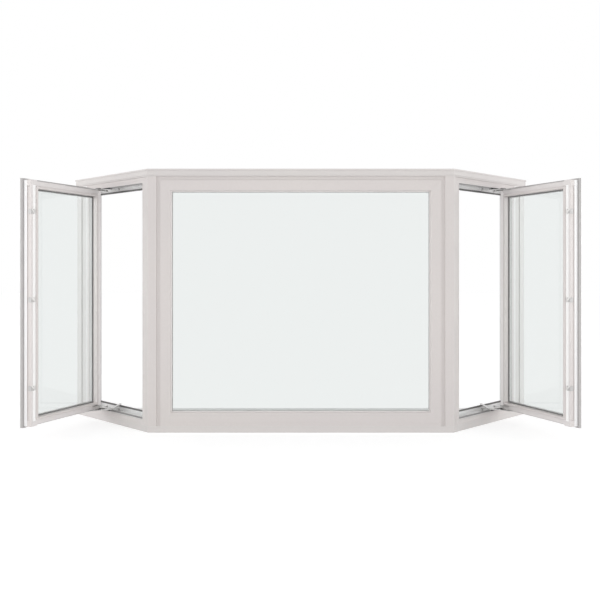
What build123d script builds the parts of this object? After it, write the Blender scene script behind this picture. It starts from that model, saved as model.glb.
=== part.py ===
"""White vinyl bay window: a fixed centre unit and two angled casement units between a head board
and a seat board, with both casement sashes standing open.

Frame: X to the right seen from outside, Y from the outside towards the room, Z up.
The origin is on the underside of the seat board, on the centre line, halfway between front and wall.
"""
from build123d import *
import os
from math import atan2, cos, degrees, hypot, radians, sin, tan

# ---------------------------------------------------------------- driving dimensions, millimetres
BAY_HEIGHT = 1219.0          # underside of the seat board to the top of the head board
FRONT_WIDTH = 1415.0         # between the two outer corners of the bay
SIDE_LENGTH = 653.0          # outer face of an angled side, from the bay corner to the wall
BAY_ANGLE = 45.0             # turn of each side away from the front, degrees

SEAT_THICK = 30.0
HEAD_THICK = 35.0
BOARD_EDGE_RADIUS = 2.0
HEAD_TRIM_UPPER = 7.0        # height of the upper step of the strip round the head board
HEAD_TRIM_UPPER_PROUD = 6.0
HEAD_TRIM_LOWER = 22.0
HEAD_TRIM_LOWER_PROUD = 3.0

FRAME_DEPTH = 70.0           # exterior face to room face of every window frame
GROOVE_DEPTH = 6.0           # the recessed strips between covers and frames

MULLION_COVER = 40.0         # width of the corner cover on the front
MULLION_GROOVE = 17.0        # recessed strip between that cover and the centre frame
MULLION_RETURN = 16.5        # width of the corner cover on the angled side
WALL_COVER = 43.0            # width of the cover at the wall end of an angled side

CENTRE_SILL_STRIP = 13.0     # strip between the seat board and the centre frame
HEAD_STRIP = 16.0            # recessed strip between the frames and the head board
CENTRE_FACE = 50.0           # face width of the centre frame

SIGHT_BEVEL = 3.0            # chamfer where a frame or a sash meets its glass outside
SIDE_FACE = 26.5             # face width of an angled unit's frame, seen from outside
WALL_GAP = 88.0              # from the frame of an angled unit to the wall, along the side
STOP_HEIGHT = 24.0           # how far the room-side stop stands into the opening
STOP_CHAMFER = 8.0           # on the room side of that stop
CHANNEL_DEPTH = 61.0         # exterior face to the stop, the space the sash closes into

LIP_SEAL_DEPTH = 10.0
LIP_SEAL_HEIGHT = 5.0
LIP_SEAL_SETBACK = 4.0
STOP_SEAL_DEPTH = 3.0
STOP_SEAL_HEIGHT = 8.0
STOP_SEAL_MARGIN = 1.0

SASH_GAP = 10.0              # between the sash body and the opening, all round, for the hinges
SASH_FACE = 38.0             # width of stiles and rails
SASH_THICK = 58.0            # room face to exterior face
SASH_FLAT = 27.0             # flat part of the room face, outside the glazing bead
FLANGE_THICK = 4.0           # exterior flange that fills most of that gap
FLANGE_REACH = 8.0
SASH_SEAL_DEPTH = 12.0       # seal behind the flange
SASH_SEAL_SETBACK = 1.0      # from the edge of the flange
HINGE_NOTCH_HEIGHT = 6.5     # rebate along top and bottom of the sash for the hinge bars
HINGE_NOTCH_DEPTH = 24.0
EDGE_GROOVE_WIDTH = 17.0     # hardware groove in the edge of the lock stile
EDGE_GROOVE_DEPTH = 3.0
EDGE_GROOVE_START = 5.0

OPEN_ANGLE = 68.7            # how far both sashes stand open, degrees
HINGE_SLIDE = 166.0          # travel of the hinge edge along the frame on the way there
HINGE_OUT = 87.0             # travel of the hinge edge out of the frame on the way there

PANE = 4.0
GLASS_GAP = 12.0             # between the two panes
GLASS_EDGE_COVER = 6.0       # how far the sight line covers the glass edge
GLASS_EDGE_GAP = 2.0         # between the glass edge and the bottom of its rebate
SPACER_HEIGHT = 12.0
CENTRE_GLASS_SETBACK = 14.0  # exterior face to the outer pane
CENTRE_BEAD_DEPTH = 16.0     # along the frame depth
CENTRE_BEAD_LAND = 3.0       # flat edge of that bead before its slope starts
CENTRE_BEAD_SLOPE = 9.0      # how far it slopes back towards the glass
SASH_GLASS_SETBACK = 18.0    # flat of the room face to the inner pane
SASH_BEAD_PROUD = 8.0        # how far the sash bead stands out of that flat
SASH_BEAD_EDGE = 2.5         # chamfer along both edges of its face

TRACK_LENGTH = 250.0
TRACK_WIDTH = 22.0
TRACK_THICK = 3.0
TRACK_LIP = 1.2              # the two upturned edges of the track
TRACK_CENTRE = 35.0          # depth of the track's centre line in the frame
TRACK_END_GAP = 6.0
HINGE_BAR_LENGTH = 240.0
HINGE_BAR_WIDTH = 16.0
HINGE_BAR_THICK = 2.4
HINGE_BAR_INSET = 10.0       # its centre line, measured in from the room face of the sash
HINGE_BAR_START = 4.0        # from the hinge edge of the sash
ARM_WIDTH = 15.0
ARM_THICK = 2.4
ARM_GAP = 0.3                # between an arm and the bar it turns on
RIVET_RADIUS = 4.0
SHORT_ARM_AT = 20.0          # along the sash from its hinge edge to the short arm's pivot
LONG_ARM_AT = 80.0

OPERATOR_AT = 198.0          # from the wall side of the opening to the operator's pivot
OPERATOR_PIVOT_RADIUS = 3.5
OPERATOR_LENGTH = 150.0      # the low cover on the room side of the sill
OPERATOR_DEPTH = 34.0
OPERATOR_HEIGHT = 24.0
OPERATOR_FLAT = 10.0         # depth of its flat top before the slope
OPERATOR_NOSE = 8.0          # height left at the front of the slope
OPERATOR_EDGE = 3.0
OPERATOR_ARM_THICK = 3.0
OPERATOR_ARM_WIDTH = 16.0
ELBOW_ALONG = 95.0           # from the operator's pivot to the elbow, along the frame
ELBOW_OUT = 43.0             # from the exterior face out to the elbow
BRACKET_AT = 45.0            # along the sash from its hinge edge
BRACKET_LENGTH = 40.0
BRACKET_REACH = 22.0
BRACKET_THICK = 3.4
BRACKET_PIN_OUT = 12.0       # from the room face of the sash to the link's pivot
CRANK_HUB_RADIUS = 9.0
CRANK_HUB_HEIGHT = 6.0
CRANK_LENGTH = 92.0
CRANK_WIDTH = 12.0
CRANK_THICK = 6.0
CRANK_GRIP_RADIUS = 5.5      # the folded grip that lies along the end of the crank
CRANK_GRIP_LENGTH = 40.0

LOCK_HEIGHT = 370.0          # from the bottom of the opening to the middle of the lock lever
LOCK_PLATE_WIDTH = 20.0
LOCK_PLATE_HEIGHT = 110.0
LOCK_PLATE_THICK = 5.0
LOCK_LEVER_LENGTH = 88.0
LOCK_LEVER_WIDTH = 13.0
LOCK_LEVER_THICK = 9.0
LOCK_LEVER_ROUND = 4.0
KEEPER_WIDTH = 19.0
KEEPER_HEIGHT = 22.0
KEEPER_THICK = 2.5
KEEPER_WRAP = 14.0           # how far it reaches round the corner onto the edge of the stile
KEEPER_HOOK = 5.0            # how far its upturned edge stands out
KEEPER_HOOK_HEIGHT = 16.0
KEEPER_START = 168.0         # from the bottom of the sash to the lowest keeper
KEEPER_SPACING = 387.0
KEEPERS = 3

CUT_PAST = 1.0               # how far a cutting shape runs past the surface it cuts

# ---------------------------------------------------------------- worked-out places
TURN = radians(BAY_ANGLE)
HALF_TURN_TAN = tan(TURN / 2)
PROJECTION = SIDE_LENGTH * sin(TURN)
FRONT_Y = -PROJECTION / 2
WALL_Y = PROJECTION / 2
HALF_FRONT = FRONT_WIDTH / 2
UNIT_BOTTOM = SEAT_THICK
UNIT_TOP = BAY_HEIGHT - HEAD_THICK

SIDE_START = MULLION_RETURN
SIDE_END = SIDE_LENGTH - WALL_GAP
OPENING_START = SIDE_START + SIDE_FACE
OPENING_END = SIDE_END - SIDE_FACE
OPENING_BOTTOM = UNIT_BOTTOM + SIDE_FACE
OPENING_TOP = UNIT_TOP - SIDE_FACE

SASH_WIDTH = OPENING_END - OPENING_START - 2 * SASH_GAP
SASH_BOTTOM = OPENING_BOTTOM + SASH_GAP
SASH_TOP = OPENING_TOP - SASH_GAP
IGU_THICK = 2 * PANE + GLASS_GAP
CLOSED_HINGE_EDGE = (OPENING_END - SASH_GAP, CHANNEL_DEPTH - STOP_SEAL_DEPTH)

# The angled side's own frame: x along the side from the bay corner, y inwards, z up.
RIGHT_SIDE = Location((HALF_FRONT, FRONT_Y, 0), (0, 0, BAY_ANGLE))
# The sash's own frame: x from the hinge edge to the lock edge, y from the room face outwards.
HINGE_EDGE = (CLOSED_HINGE_EDGE[0] - HINGE_SLIDE, CLOSED_HINGE_EDGE[1] - HINGE_OUT)
SASH_PLACE = Location((HINGE_EDGE[0], HINGE_EDGE[1], 0), (0, 0, 180 + OPEN_ANGLE))


# ---------------------------------------------------------------- making shapes
def prism(points, bottom, top):
    """Plan outline raised from bottom to top."""
    outline = make_face(Polyline(*points, close=True))
    return Pos(0, 0, bottom) * extrude(outline, top - bottom, dir=(0, 0, 1))


def block(x, y, z):
    """Box between three pairs of limits."""
    middle = Pos((x[0] + x[1]) / 2, (y[0] + y[1]) / 2, (z[0] + z[1]) / 2)
    return middle * Box(x[1] - x[0], y[1] - y[0], z[1] - z[0])


def mitred_bar(profile, length):
    """Bar along +Z whose profile is (depth, inward) and whose ends are cut at 45 degrees."""
    inward = [point[1] for point in profile]
    depth = [point[0] for point in profile]
    pad = max(0.0, -min(inward))
    reach = max(inward)
    face = make_face(Polyline(*profile, close=True))
    bar = Pos(0, 0, -pad) * extrude(face, length + 2 * pad, dir=(0, 0, 1))
    ends = [(-pad, -pad), (-pad, length + pad), (reach, length - reach), (reach, reach)]
    wedge_face = Plane.YZ * make_face(Polyline(*ends, close=True))
    thick = max(depth) - min(depth)
    wedge = Pos(min(depth), 0, 0) * extrude(wedge_face, thick, dir=(1, 0, 0))
    return bar & wedge


def ring(profile, x, z, sides=("bottom", "right", "top", "left")):
    """Mitred members of a rectangular frame, with its outer edges at x and z."""
    width, height = x[1] - x[0], z[1] - z[0]
    places = {
        "bottom": ((x[0], 0, z[0]), (1, 0, 0), width),
        "right": ((x[1], 0, z[0]), (0, 0, 1), height),
        "top": ((x[1], 0, z[1]), (-1, 0, 0), width),
        "left": ((x[0], 0, z[1]), (0, 0, -1), height),
    }
    members = []
    for side in sides:
        corner, along, length = places[side]
        plane = Plane(origin=corner, x_dir=(0, 1, 0), z_dir=along)
        members.append(plane.location * mitred_bar(profile, length))
    return members


def whole_ring(profile, x, z):
    """The same four members as one piece."""
    first, *rest = ring(profile, x, z)
    for member in rest:
        first = first + member
    return first


def rectangle(depth, inward):
    """Profile points of a plain rectangular bar."""
    return [(depth[0], inward[0]), (depth[1], inward[0]), (depth[1], inward[1]), (depth[0], inward[1])]


def panes(x, y_faces, z):
    """The two sheets of a sealed unit, from its outer faces."""
    return [block(x, (y_faces[0], y_faces[0] + PANE), z), block(x, (y_faces[1] - PANE, y_faces[1]), z)]


def strap(start, end, width, bottom, thick):
    """Flat bar with round ends between two points in plan."""
    length = hypot(end[0] - start[0], end[1] - start[1])
    turn = degrees(atan2(end[1] - start[1], end[0] - start[0]))
    flat = extrude(SlotCenterToCenter(length, width), thick, dir=(0, 0, 1))
    middle = ((start[0] + end[0]) / 2, (start[1] + end[1]) / 2, bottom)
    return Location(middle, (0, 0, turn)) * flat


def rivet(place, bottom, top, radius=RIVET_RADIUS):
    """Round pin standing between two levels."""
    return Pos(place[0], place[1], (bottom + top) / 2) * Cylinder(radius, top - bottom)


def upside_down(solid):
    """The same piece turned over about the middle height of the openings."""
    middle = (OPENING_BOTTOM + OPENING_TOP) / 2
    return mirror(solid, about=Plane.XY.offset(middle))


def bay_outline(offset=0.0):
    """Plan of the bay out to its faces, grown outwards by offset and cut at the wall."""
    front = (HALF_FRONT + offset * HALF_TURN_TAN, FRONT_Y - offset)
    wall = (HALF_FRONT + (offset + PROJECTION * cos(TURN)) / sin(TURN), WALL_Y)
    return [(-front[0], front[1]), front, wall, (-wall[0], wall[1])]


# ---------------------------------------------------------------- boards, trim and posts
def seat_board():
    board = prism(bay_outline(), 0, SEAT_THICK)
    front = board.edges().filter_by(Plane.XY).sort_by(Axis.Z)[:4].sort_by(Axis.Y)[:3]
    return fillet(front, BOARD_EDGE_RADIUS)


def head_board():
    return prism(bay_outline(), UNIT_TOP, BAY_HEIGHT)


def head_trim():
    step = BAY_HEIGHT - HEAD_TRIM_UPPER
    lower = prism(bay_outline(HEAD_TRIM_LOWER_PROUD), step - HEAD_TRIM_LOWER, step)
    upper = prism(bay_outline(HEAD_TRIM_UPPER_PROUD), step, BAY_HEIGHT)
    return lower + upper - prism(bay_outline(), UNIT_TOP, BAY_HEIGHT)


def on_side(along, inward):
    """Plan position on the right angled side, from the bay corner."""
    return (along * cos(TURN) - inward * sin(TURN), along * sin(TURN) + inward * cos(TURN))


def mullion():
    """Right corner post, between the centre frame and the angled frame."""
    frame_edge = -(MULLION_COVER + MULLION_GROOVE)
    outline = [
        (0, 0),
        on_side(MULLION_RETURN, 0),
        on_side(MULLION_RETURN, MULLION_RETURN / HALF_TURN_TAN),
        (-FRAME_DEPTH * HALF_TURN_TAN, FRAME_DEPTH),
        (frame_edge, FRAME_DEPTH),
        (frame_edge, GROOVE_DEPTH),
        (-MULLION_COVER, GROOVE_DEPTH),
        (-MULLION_COVER, 0),
    ]
    return Pos(HALF_FRONT, FRONT_Y, 0) * prism(outline, UNIT_BOTTOM, UNIT_TOP)


def wall_post():
    """Right post between the angled frame and the wall, in the side's own frame."""
    wall_at_frame_depth = SIDE_LENGTH - FRAME_DEPTH / tan(TURN)
    cover_edge = SIDE_LENGTH - WALL_COVER
    outline = [
        (SIDE_LENGTH, 0),
        (wall_at_frame_depth, FRAME_DEPTH),
        (SIDE_END, FRAME_DEPTH),
        (SIDE_END, GROOVE_DEPTH),
        (cover_edge, GROOVE_DEPTH),
        (cover_edge, 0),
    ]
    return prism(outline, UNIT_BOTTOM, UNIT_TOP)


# ---------------------------------------------------------------- centre unit
GLASS_REBATE = GLASS_EDGE_COVER + GLASS_EDGE_GAP
CENTRE_REBATE = CENTRE_FACE - GLASS_REBATE
CENTRE_EDGE = HALF_FRONT - MULLION_COVER - MULLION_GROOVE
CENTRE_X = (-CENTRE_EDGE, CENTRE_EDGE)
CENTRE_Z = (UNIT_BOTTOM + CENTRE_SILL_STRIP, UNIT_TOP - HEAD_STRIP)


def inset(limits, distance):
    """Limits moved in from both ends."""
    return (limits[0] + distance, limits[1] - distance)


def centre_frame(sides):
    profile = [
        (0, 0),
        (FRAME_DEPTH, 0),
        (FRAME_DEPTH, CENTRE_REBATE),
        (CENTRE_GLASS_SETBACK, CENTRE_REBATE),
        (CENTRE_GLASS_SETBACK, CENTRE_FACE),
        (SIGHT_BEVEL, CENTRE_FACE),
        (0, CENTRE_FACE - SIGHT_BEVEL),
    ]
    return ring(profile, CENTRE_X, CENTRE_Z, sides)


def centre_bead():
    """Glazing bead that holds the centre glass from the room side."""
    front = CENTRE_GLASS_SETBACK + IGU_THICK
    back = front + CENTRE_BEAD_DEPTH
    profile = [
        (front, CENTRE_REBATE),
        (back, CENTRE_REBATE),
        (back, CENTRE_REBATE + CENTRE_BEAD_LAND),
        (back - CENTRE_BEAD_SLOPE, CENTRE_FACE),
        (front, CENTRE_FACE),
    ]
    return whole_ring(profile, CENTRE_X, CENTRE_Z)


def centre_glass():
    edge = CENTRE_FACE - GLASS_EDGE_COVER
    faces = (CENTRE_GLASS_SETBACK, CENTRE_GLASS_SETBACK + IGU_THICK)
    return panes(inset(CENTRE_X, edge), faces, inset(CENTRE_Z, edge))


def centre_spacer():
    edge = CENTRE_FACE - GLASS_EDGE_COVER
    depth = (CENTRE_GLASS_SETBACK + PANE, CENTRE_GLASS_SETBACK + IGU_THICK - PANE)
    return whole_ring(rectangle(depth, (edge, edge + SPACER_HEIGHT)), CENTRE_X, CENTRE_Z)


def centre_strips():
    """The strips that close the centre frame to the seat board and to the head board."""
    below = block(CENTRE_X, (0, FRAME_DEPTH), (UNIT_BOTTOM, CENTRE_Z[0]))
    above = block(CENTRE_X, (GROOVE_DEPTH, FRAME_DEPTH), (CENTRE_Z[1], UNIT_TOP))
    return [below, above]


# ---------------------------------------------------------------- angled units, in the side's frame
SIDE_X = (SIDE_START, SIDE_END)
SIDE_Z = (UNIT_BOTTOM, UNIT_TOP)


def corner_side_only(solid):
    """Trim a piece to its own side of the plane that halves the bay corner."""
    reach = SIDE_LENGTH
    depth = FRAME_DEPTH + CUT_PAST
    keep = [(0, 0), (reach, 0), (reach, depth), (depth * HALF_TURN_TAN, depth)]
    return solid & prism(keep, UNIT_BOTTOM - CUT_PAST, UNIT_TOP + CUT_PAST)


def side_frame(sides):
    stop_edge = SIDE_FACE + STOP_HEIGHT
    profile = [
        (0, 0),
        (FRAME_DEPTH, 0),
        (FRAME_DEPTH, stop_edge - STOP_CHAMFER),
        (FRAME_DEPTH - STOP_CHAMFER, stop_edge),
        (CHANNEL_DEPTH, stop_edge),
        (CHANNEL_DEPTH, SIDE_FACE),
        (0, SIDE_FACE),
    ]
    strip = block((0, SIDE_LENGTH), (-CUT_PAST, GROOVE_DEPTH), (UNIT_TOP - HEAD_STRIP, UNIT_TOP + CUT_PAST))
    return [corner_side_only(member) - strip for member in ring(profile, SIDE_X, SIDE_Z, sides)]


def side_seals():
    """Black weatherstrips: one on the exterior lip of the channel, one on the room-side stop."""
    lip_depth = (LIP_SEAL_SETBACK, LIP_SEAL_SETBACK + LIP_SEAL_DEPTH)
    lip = whole_ring(rectangle(lip_depth, (SIDE_FACE, SIDE_FACE + LIP_SEAL_HEIGHT)), SIDE_X, SIDE_Z)
    top = SIDE_FACE + STOP_HEIGHT - STOP_SEAL_MARGIN
    stop_depth = (CHANNEL_DEPTH - STOP_SEAL_DEPTH, CHANNEL_DEPTH)
    stop = whole_ring(rectangle(stop_depth, (top - STOP_SEAL_HEIGHT, top)), SIDE_X, SIDE_Z)
    return [lip, stop]


# ---------------------------------------------------------------- sash, in the sash's frame
SASH_X = (0.0, SASH_WIDTH)
SASH_Z = (SASH_BOTTOM, SASH_TOP)
GLASS_ROOM_FACE = SASH_GLASS_SETBACK
GLASS_OUT_FACE = SASH_GLASS_SETBACK + IGU_THICK


def hinge_notch(solid):
    """Cut the rebates for the hinge bars, which stop at the lock stile."""
    along = (-CUT_PAST, SASH_WIDTH - SASH_FACE)
    depth = (-CUT_PAST, HINGE_NOTCH_DEPTH)
    low = block(along, depth, (SASH_BOTTOM - CUT_PAST, SASH_BOTTOM + HINGE_NOTCH_HEIGHT))
    return solid - low - upside_down(low)


def sash_members(sides):
    rebate = SASH_FACE - GLASS_REBATE
    profile = [
        (0, 0),
        (0, SASH_FLAT),
        (GLASS_ROOM_FACE, SASH_FLAT),
        (GLASS_ROOM_FACE, rebate),
        (GLASS_OUT_FACE, rebate),
        (GLASS_OUT_FACE, SASH_FACE),
        (SASH_THICK - SIGHT_BEVEL, SASH_FACE),
        (SASH_THICK, SASH_FACE - SIGHT_BEVEL),
        (SASH_THICK, -FLANGE_REACH),
        (SASH_THICK - FLANGE_THICK, -FLANGE_REACH),
        (SASH_THICK - FLANGE_THICK, 0),
    ]
    return [hinge_notch(member) for member in ring(profile, SASH_X, SASH_Z, sides)]


def sash_stiles():
    hinge_stile, lock_stile = sash_members(("left", "right"))
    groove_depth = (EDGE_GROOVE_START, EDGE_GROOVE_START + EDGE_GROOVE_WIDTH)
    groove = block((SASH_WIDTH - EDGE_GROOVE_DEPTH, SASH_WIDTH + CUT_PAST), groove_depth,
                   inset(SASH_Z, SASH_FLAT))
    return [hinge_stile, lock_stile - groove]


def sash_bead():
    """Glazing bead, which stands out of the flat that closes on the frame's stop."""
    front = -SASH_BEAD_PROUD
    profile = [
        (GLASS_ROOM_FACE, SASH_FLAT),
        (front + SASH_BEAD_EDGE, SASH_FLAT),
        (front, SASH_FLAT + SASH_BEAD_EDGE),
        (front, SASH_FACE - SASH_BEAD_EDGE),
        (front + SASH_BEAD_EDGE, SASH_FACE),
        (GLASS_ROOM_FACE, SASH_FACE),
    ]
    return whole_ring(profile, SASH_X, SASH_Z)


def sash_seal():
    """Weatherstrip behind the exterior flange."""
    back = SASH_THICK - FLANGE_THICK
    profile = rectangle((back - SASH_SEAL_DEPTH, back), (SASH_SEAL_SETBACK - FLANGE_REACH, 0))
    return whole_ring(profile, SASH_X, SASH_Z)


def sash_glass():
    edge = SASH_FACE - GLASS_EDGE_COVER
    return panes(inset(SASH_X, edge), (GLASS_ROOM_FACE, GLASS_OUT_FACE), inset(SASH_Z, edge))


def sash_spacer():
    edge = SASH_FACE - GLASS_EDGE_COVER
    depth = (GLASS_ROOM_FACE + PANE, GLASS_OUT_FACE - PANE)
    return whole_ring(rectangle(depth, (edge, edge + SPACER_HEIGHT)), SASH_X, SASH_Z)


def sash_keepers():
    """Lock keepers, bent round the room-side corner of the lock stile."""
    inner, corner, outer = SASH_WIDTH - KEEPER_WIDTH, SASH_WIDTH, SASH_WIDTH + KEEPER_THICK
    keepers = []
    for number in range(KEEPERS):
        level = SASH_BOTTOM + KEEPER_START + number * KEEPER_SPACING
        z = (level - KEEPER_HEIGHT / 2, level + KEEPER_HEIGHT / 2)
        hook_z = (level - KEEPER_HOOK_HEIGHT / 2, level + KEEPER_HOOK_HEIGHT / 2)
        plate = block((inner, outer), (-KEEPER_THICK, 0), z)
        wrap = block((corner, outer), (0, KEEPER_WRAP), z)
        hook = block((inner, inner + KEEPER_THICK), (-KEEPER_THICK - KEEPER_HOOK, -KEEPER_THICK), hook_z)
        keepers.append(plate + wrap + hook)
    return keepers


# ---------------------------------------------------------------- hinges, in the side's frame
NOTCH_LEVEL = SASH_BOTTOM + HINGE_NOTCH_HEIGHT
BAR_LEVEL = NOTCH_LEVEL - HINGE_BAR_THICK
ARM_LEVEL = BAR_LEVEL - ARM_GAP - ARM_THICK
TRACK_TOP = OPENING_BOTTOM + TRACK_THICK


def on_sash(along, depth):
    """Plan position in the side's frame of a point given in the sash's frame."""
    point = SASH_PLACE * Location((along, depth, 0))
    return (point.position.X, point.position.Y)


def hinge_track():
    end = OPENING_END - TRACK_END_GAP
    x = (end - TRACK_LENGTH, end)
    y = (TRACK_CENTRE - TRACK_WIDTH / 2, TRACK_CENTRE + TRACK_WIDTH / 2)
    plate = block(x, y, (OPENING_BOTTOM, TRACK_TOP))
    groove = block(x, (y[0] + TRACK_LIP, y[1] - TRACK_LIP), (TRACK_TOP - TRACK_LIP, TRACK_TOP))
    return plate - groove


def track_pivot(sash_at):
    """Place in the track that is as far from the sash's pivot when it is closed as when it is open."""
    closed = (CLOSED_HINGE_EDGE[0] - sash_at, CLOSED_HINGE_EDGE[1] - HINGE_BAR_INSET)
    opened = on_sash(sash_at, HINGE_BAR_INSET)
    middle = ((closed[0] + opened[0]) / 2, (closed[1] + opened[1]) / 2)
    slope = (closed[1] - opened[1]) / (closed[0] - opened[0])
    return (middle[0] - (TRACK_CENTRE - middle[1]) * slope, TRACK_CENTRE)


def hinge_arm(sash_at):
    """Arm from its pivot in the track to its pivot on the sash's hinge bar."""
    start = track_pivot(sash_at)
    end = on_sash(sash_at, HINGE_BAR_INSET)
    arm = strap(start, end, ARM_WIDTH, ARM_LEVEL, ARM_THICK)
    foot = rivet(start, TRACK_TOP - TRACK_LIP, ARM_LEVEL)
    head = rivet(end, ARM_LEVEL + ARM_THICK, BAR_LEVEL)
    return arm + foot + head


def hinge_bar():
    """Bar in the sash's rebate, in the sash's frame."""
    y = (HINGE_BAR_INSET - HINGE_BAR_WIDTH / 2, HINGE_BAR_INSET + HINGE_BAR_WIDTH / 2)
    return block((HINGE_BAR_START, HINGE_BAR_START + HINGE_BAR_LENGTH), y, (BAR_LEVEL, NOTCH_LEVEL))


def hinge_arms():
    short, long = hinge_arm(SHORT_ARM_AT), hinge_arm(LONG_ARM_AT)
    return [short, long, upside_down(short), upside_down(long)]


# ---------------------------------------------------------------- crank operator, in the side's frame
STOP_TOP = OPENING_BOTTOM + STOP_HEIGHT
OPERATOR_X = OPENING_END - OPERATOR_AT
MAIN_ARM_LEVEL = STOP_TOP + ARM_GAP
LINK_LEVEL = MAIN_ARM_LEVEL + OPERATOR_ARM_THICK + ARM_GAP
BRACKET_LEVEL = LINK_LEVEL + OPERATOR_ARM_THICK + ARM_GAP


def operator_cover():
    """Low cover on the seat board, against the room face of the frame, with a sloping front."""
    profile = [
        (FRAME_DEPTH, UNIT_BOTTOM),
        (FRAME_DEPTH + OPERATOR_DEPTH, UNIT_BOTTOM),
        (FRAME_DEPTH + OPERATOR_DEPTH, UNIT_BOTTOM + OPERATOR_NOSE),
        (FRAME_DEPTH + OPERATOR_FLAT, UNIT_BOTTOM + OPERATOR_HEIGHT),
        (FRAME_DEPTH, UNIT_BOTTOM + OPERATOR_HEIGHT),
    ]
    face = Plane.YZ * make_face(Polyline(*profile, close=True))
    start = Pos(OPERATOR_X - OPERATOR_LENGTH / 2, 0, 0)
    cover = start * extrude(face, OPERATOR_LENGTH, dir=(1, 0, 0))
    front_corners = cover.edges().filter_by(Axis.Z).sort_by(Axis.Y)[-2:]
    return fillet(front_corners, OPERATOR_EDGE)


def slope_plane():
    """Plane on the cover's sloping front, x along the frame and z out of the slope."""
    run = OPERATOR_DEPTH - OPERATOR_FLAT
    fall = OPERATOR_HEIGHT - OPERATOR_NOSE
    middle = (OPERATOR_X, FRAME_DEPTH + OPERATOR_FLAT + run / 2, UNIT_BOTTOM + OPERATOR_NOSE + fall / 2)
    return Plane(origin=middle, x_dir=(1, 0, 0), z_dir=(0, fall, run))


def crank_handle():
    """Crank folded flat along the cover's slope, its grip laid along its end."""
    hub = Pos(0, 0, CRANK_HUB_HEIGHT / 2) * Cylinder(CRANK_HUB_RADIUS, CRANK_HUB_HEIGHT)
    arm = strap((0, 0), (-CRANK_LENGTH, 0), CRANK_WIDTH, CRANK_HUB_HEIGHT, CRANK_THICK)
    grip_centre = Pos(-CRANK_LENGTH + CRANK_GRIP_LENGTH / 2, 0, CRANK_HUB_HEIGHT + CRANK_THICK)
    grip = grip_centre * Rot(0, 90, 0) * Cylinder(CRANK_GRIP_RADIUS, CRANK_GRIP_LENGTH)
    middle = Pos((CRANK_LENGTH - CRANK_GRIP_LENGTH) / 2, 0, 0)
    return slope_plane().location * middle * (hub + arm + grip)


def operator_arms():
    """Main arm from its pivot on the stop to the elbow, and the link from there to the bracket."""
    pivot = (OPERATOR_X, (CHANNEL_DEPTH + FRAME_DEPTH) / 2)
    elbow = (OPERATOR_X - ELBOW_ALONG, -ELBOW_OUT)
    pin = on_sash(BRACKET_AT, -BRACKET_PIN_OUT)
    main_arm = strap(pivot, elbow, OPERATOR_ARM_WIDTH, MAIN_ARM_LEVEL, OPERATOR_ARM_THICK)
    main_arm = main_arm + rivet(pivot, STOP_TOP, MAIN_ARM_LEVEL, OPERATOR_PIVOT_RADIUS)
    main_arm = main_arm + rivet(elbow, MAIN_ARM_LEVEL + OPERATOR_ARM_THICK, LINK_LEVEL)
    link = strap(elbow, pin, OPERATOR_ARM_WIDTH, LINK_LEVEL, OPERATOR_ARM_THICK)
    link = link + rivet(pin, LINK_LEVEL + OPERATOR_ARM_THICK, BRACKET_LEVEL)
    return [main_arm, link]


def operator_bracket():
    """Plate on the room face of the sash's bottom rail, in the sash's frame."""
    half = BRACKET_LENGTH / 2
    return block((BRACKET_AT - half, BRACKET_AT + half), (-BRACKET_REACH, 0),
                 (BRACKET_LEVEL, BRACKET_LEVEL + BRACKET_THICK))


def lock_handle():
    """Lock lever on the room face of the jamb beside the bay corner."""
    left = FRAME_DEPTH * HALF_TURN_TAN
    right = SIDE_START + SIDE_FACE + STOP_HEIGHT
    centre = (left + right) / 2
    level = OPENING_BOTTOM + LOCK_HEIGHT
    face = FRAME_DEPTH
    plate = block((centre - LOCK_PLATE_WIDTH / 2, centre + LOCK_PLATE_WIDTH / 2),
                  (face, face + LOCK_PLATE_THICK),
                  (level - LOCK_PLATE_HEIGHT / 2, level + LOCK_PLATE_HEIGHT / 2))
    lever_front = face + LOCK_PLATE_THICK
    lever = block((centre - LOCK_LEVER_WIDTH / 2, centre + LOCK_LEVER_WIDTH / 2),
                  (lever_front, lever_front + LOCK_LEVER_THICK),
                  (level - LOCK_LEVER_LENGTH / 2, level + LOCK_LEVER_LENGTH / 2))
    lever = fillet(lever.edges().filter_by(Axis.Y), LOCK_LEVER_ROUND)
    return plate + lever


# ---------------------------------------------------------------- putting it together
def as_list(shapes):
    return list(shapes) if isinstance(shapes, (list, tuple)) else [shapes]


def placed(shapes, *places):
    """Shapes moved by each place in turn, the innermost last."""
    moved = as_list(shapes)
    for place in reversed(places):
        moved = [place * shape for shape in moved]
    return moved


def mirrored(shapes):
    return [mirror(shape, about=Plane.YZ) for shape in as_list(shapes)]


def save(node, shapes):
    """Write one node's solids to its STEP file."""
    solids = []
    for shape in as_list(shapes):
        solids.extend(shape.solids())
    body = solids[0] if len(solids) == 1 else Compound(children=solids)
    export_step(body, f"parts/{node}.step")


def right_side_nodes():
    """Everything of the right angled unit, in the bay's frame."""
    in_side = {
        "frame_jambs": side_frame(("left", "right")),
        "frame_head_and_sill": side_frame(("top", "bottom")),
        "frame_seals": side_seals(),
        "hinge_tracks": [hinge_track(), upside_down(hinge_track())],
        "hinge_arms": hinge_arms(),
        "operator_cover": operator_cover(),
        "operator_arms": operator_arms(),
        "crank_handle": crank_handle(),
        "lock_handle": lock_handle(),
    }
    in_sash = {
        "sash_stiles": sash_stiles(),
        "sash_rails": sash_members(("top", "bottom")),
        "sash_bead": sash_bead(),
        "sash_seal": sash_seal(),
        "sash_glass": sash_glass(),
        "sash_spacer": sash_spacer(),
        "sash_keepers": sash_keepers(),
        "sash_hinge_bars": [hinge_bar(), upside_down(hinge_bar()), operator_bracket()],
    }
    nodes = {name: placed(shapes, RIGHT_SIDE) for name, shapes in in_side.items()}
    nodes.update({name: placed(shapes, RIGHT_SIDE, SASH_PLACE) for name, shapes in in_sash.items()})
    return nodes


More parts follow.
